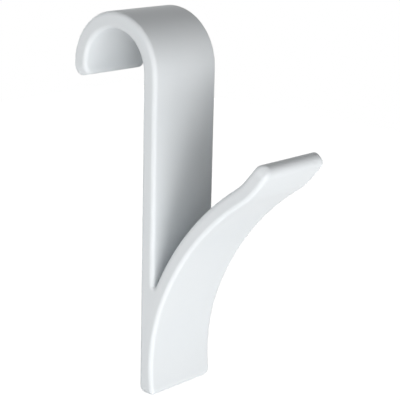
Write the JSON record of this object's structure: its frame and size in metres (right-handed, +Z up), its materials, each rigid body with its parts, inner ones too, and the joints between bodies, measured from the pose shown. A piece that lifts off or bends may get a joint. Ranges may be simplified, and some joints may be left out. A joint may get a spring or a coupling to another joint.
{
  "type": "radiator towel hook",
  "caption": "White moulded hook that clips over a round towel-radiator tube, with a straight strap and a sweeping arm with a turned-up lip for towels and robes.",
  "frame": {"origin": "on the axis of the tube that the clip holds, at the middle of the hook's width", "axes": "+X along the tube, -Y to the front where the arm reaches out, +Z up"},
  "size_m": [0.0276, 0.0792, 0.1201],
  "materials": {
    "white_plastic": "smooth gloss, slightly cool white"
  },
  "bodies": {
    "root": {"towel_hook": "white_plastic"}
  },
  "joints": []
}
